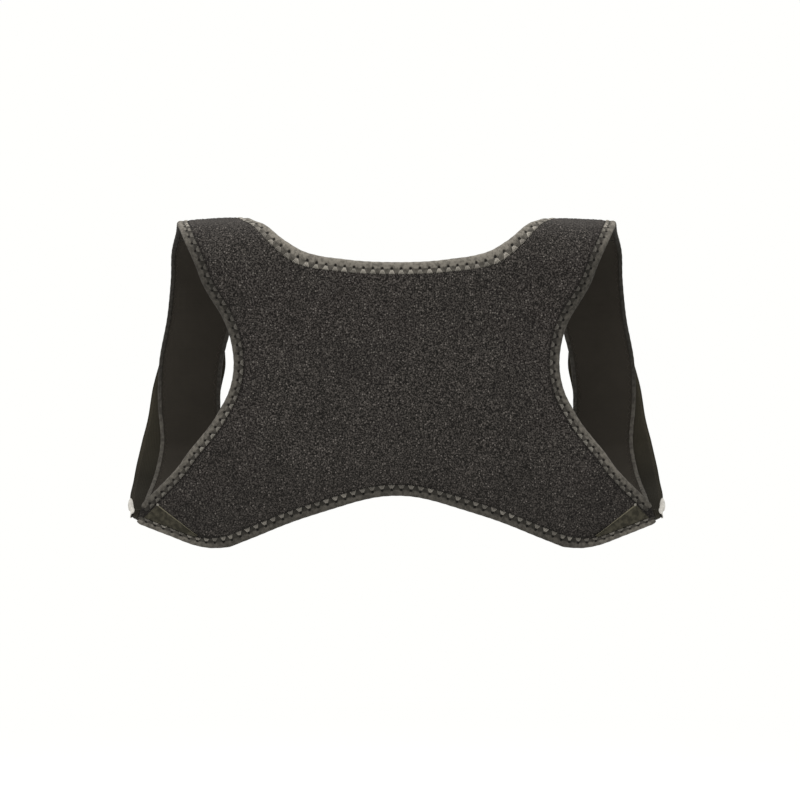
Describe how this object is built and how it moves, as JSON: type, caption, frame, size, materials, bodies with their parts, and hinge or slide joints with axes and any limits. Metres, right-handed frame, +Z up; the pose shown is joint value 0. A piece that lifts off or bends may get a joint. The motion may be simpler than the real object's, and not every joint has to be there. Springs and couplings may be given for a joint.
{
  "type": "posture corrector",
  "caption": "Back panel shaped like an X in pile-faced foam laminate, with bound shoulder loops that pass under the arms and draw the shoulders back.",
  "frame": {"origin": "middle of the back panel's inner face, where it lies on the wearer's upper back", "axes": "+X to the wearer's right, +Y forward from the panel through the wearer's chest, +Z up to the shoulders"},
  "size_m": [0.3996, 0.1208, 0.2432],
  "materials": {
    "pile_laminate": "black loop pile, matt, with fine light flecks",
    "smooth_lining": "smooth black knit lining on foam, matt",
    "strap_knit": "thin black knit with a faint hem line, matt",
    "grey_tape": "warm grey knitted tape, folded and stitched, slight sheen",
    "patch_cloth": "smooth dark olive cloth, matt",
    "pale_tag": "pale woven ribbon, plain"
  },
  "bodies": {
    "root": {"back_panel": "pile_laminate", "shoulder_strap_left": "smooth_lining", "shoulder_strap_right": "smooth_lining", "underarm_strap_left": "strap_knit", "underarm_strap_right": "strap_knit", "corner_patch_left": "patch_cloth", "corner_patch_right": "patch_cloth", "neck_binding": "grey_tape", "armhole_binding_left": "grey_tape", "armhole_binding_right": "grey_tape", "lower_binding": "grey_tape", "edge_tag_left": "pale_tag", "edge_tag_right": "pale_tag"}
  },
  "joints": []
}
